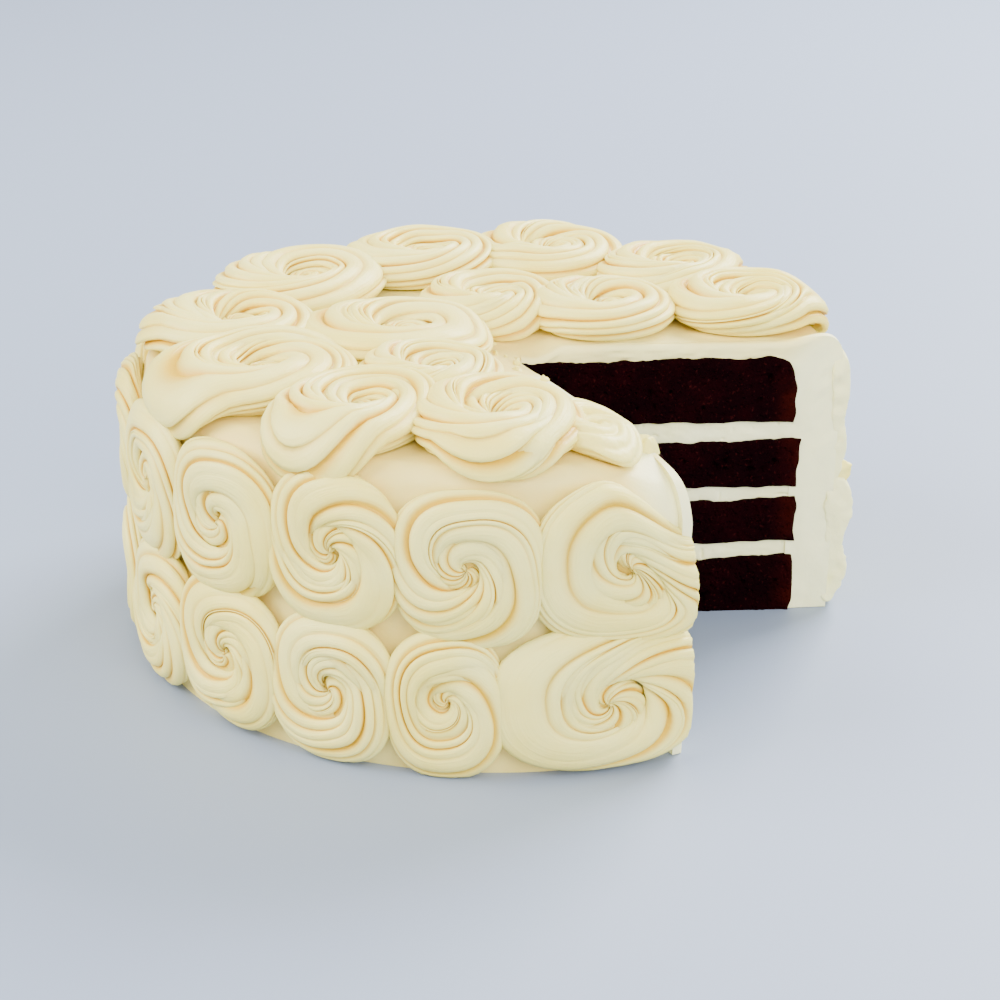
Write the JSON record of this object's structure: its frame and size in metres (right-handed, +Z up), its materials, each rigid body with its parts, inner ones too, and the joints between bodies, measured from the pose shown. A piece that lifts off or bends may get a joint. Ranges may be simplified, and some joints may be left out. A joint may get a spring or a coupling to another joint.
{
  "type": "layer cake",
  "caption": "Round layer cake with a slice cut out: dark sponges and pale cream fillings under a coat of icing, covered in piped swirled roses.",
  "frame": {"origin": "centre of the round cake on the surface it rests on, under the bottom sponge", "axes": "+Z up out of the cake's top; the missing slice opens between +X and -Y, with one cut face near the +X axis"},
  "size_m": [0.2307, 0.231, 0.1032],
  "materials": {
    "sponge": "matte crumb",
    "filling": "soft matte cream",
    "coat": "smooth satin icing",
    "icing": "piped satin icing"
  },
  "bodies": {
    "root": {"sponge_1": "sponge", "filling_1": "filling", "sponge_2": "sponge", "filling_2": "filling", "sponge_3": "sponge", "filling_3": "filling", "sponge_4": "sponge", "coat": "coat", "rose_lower_01": "icing", "rose_lower_02": "icing", "rose_lower_03": "icing", "rose_lower_04": "icing", "rose_lower_05": "icing", "rose_lower_06": "icing", "rose_lower_07": "icing", "rose_lower_08": "icing", "rose_lower_09": "icing", "rose_lower_10": "icing", "rose_lower_11": "icing", "rose_lower_12": "icing", "rose_lower_13": "icing", "rose_lower_14": "icing", "rose_lower_15": "icing", "rose_upper_01": "icing", "rose_upper_02": "icing", "rose_upper_03": "icing", "rose_upper_04": "icing", "rose_upper_05": "icing", "rose_upper_06": "icing", "rose_upper_07": "icing", "rose_upper_08": "icing", "rose_upper_09": "icing", "rose_upper_10": "icing", "rose_upper_11": "icing", "rose_upper_12": "icing", "rose_upper_13": "icing", "rose_upper_14": "icing", "rose_upper_15": "icing", "rose_top_outer_01": "icing", "rose_top_outer_02": "icing", "rose_top_outer_03": "icing", "rose_top_outer_04": "icing", "rose_top_outer_05": "icing", "rose_top_outer_06": "icing", "rose_top_outer_07": "icing", "rose_top_outer_08": "icing", "rose_top_outer_09": "icing", "rose_top_outer_10": "icing", "rose_top_inner_01": "icing", "rose_top_inner_02": "icing", "rose_top_inner_03": "icing", "rose_top_inner_04": "icing"}
  },
  "joints": []
}
